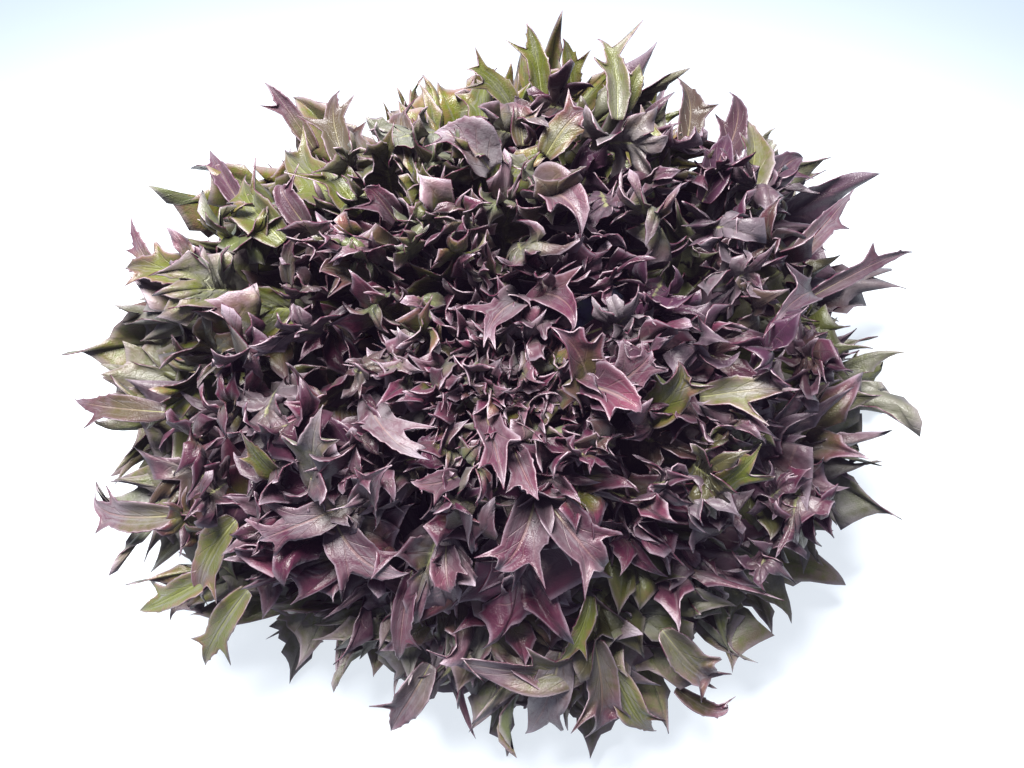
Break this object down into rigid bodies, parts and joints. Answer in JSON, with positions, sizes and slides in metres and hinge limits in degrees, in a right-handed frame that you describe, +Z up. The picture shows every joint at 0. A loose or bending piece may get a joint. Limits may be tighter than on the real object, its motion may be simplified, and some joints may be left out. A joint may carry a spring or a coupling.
{
  "type": "red leaf lettuce",
  "caption": "Whole cut head of red leaf lettuce: deeply lobed, frilled leaves spiral out from a packed heart, and the outer ones spread round the cut stump that it stands on.",
  "frame": {"origin": "middle of the stump's cut face, on the surface that the head stands on", "axes": "+Z up along the stem, +X to the right, -Y to the front, where the crown leans"},
  "size_m": [0.2795, 0.2404, 0.1465],
  "materials": {
    "outer_leaf": "soft satin leaf, olive green turning to dull burgundy at the edges",
    "inner_leaf": "satin leaf, dark burgundy with green near the midribs and thin pale edges",
    "stem": "moist pale green stem with a browned cut face"
  },
  "bodies": {
    "root": {"cut_stem": "stem", "head_leaves": "inner_leaf", "outer_leaf_01": "outer_leaf", "outer_leaf_02": "outer_leaf", "outer_leaf_03": "outer_leaf", "outer_leaf_04": "outer_leaf", "outer_leaf_05": "outer_leaf", "outer_leaf_06": "outer_leaf", "outer_leaf_07": "outer_leaf", "outer_leaf_08": "outer_leaf", "outer_leaf_09": "outer_leaf", "outer_leaf_10": "outer_leaf", "outer_leaf_11": "outer_leaf", "outer_leaf_12": "outer_leaf", "outer_leaf_13": "outer_leaf", "outer_leaf_14": "outer_leaf", "outer_leaf_15": "outer_leaf", "outer_leaf_16": "outer_leaf", "outer_leaf_17": "outer_leaf", "outer_leaf_18": "outer_leaf", "outer_leaf_19": "outer_leaf", "outer_leaf_20": "outer_leaf", "outer_leaf_21": "outer_leaf", "outer_leaf_22": "outer_leaf", "outer_leaf_23": "outer_leaf", "outer_leaf_24": "outer_leaf"}
  },
  "joints": []
}
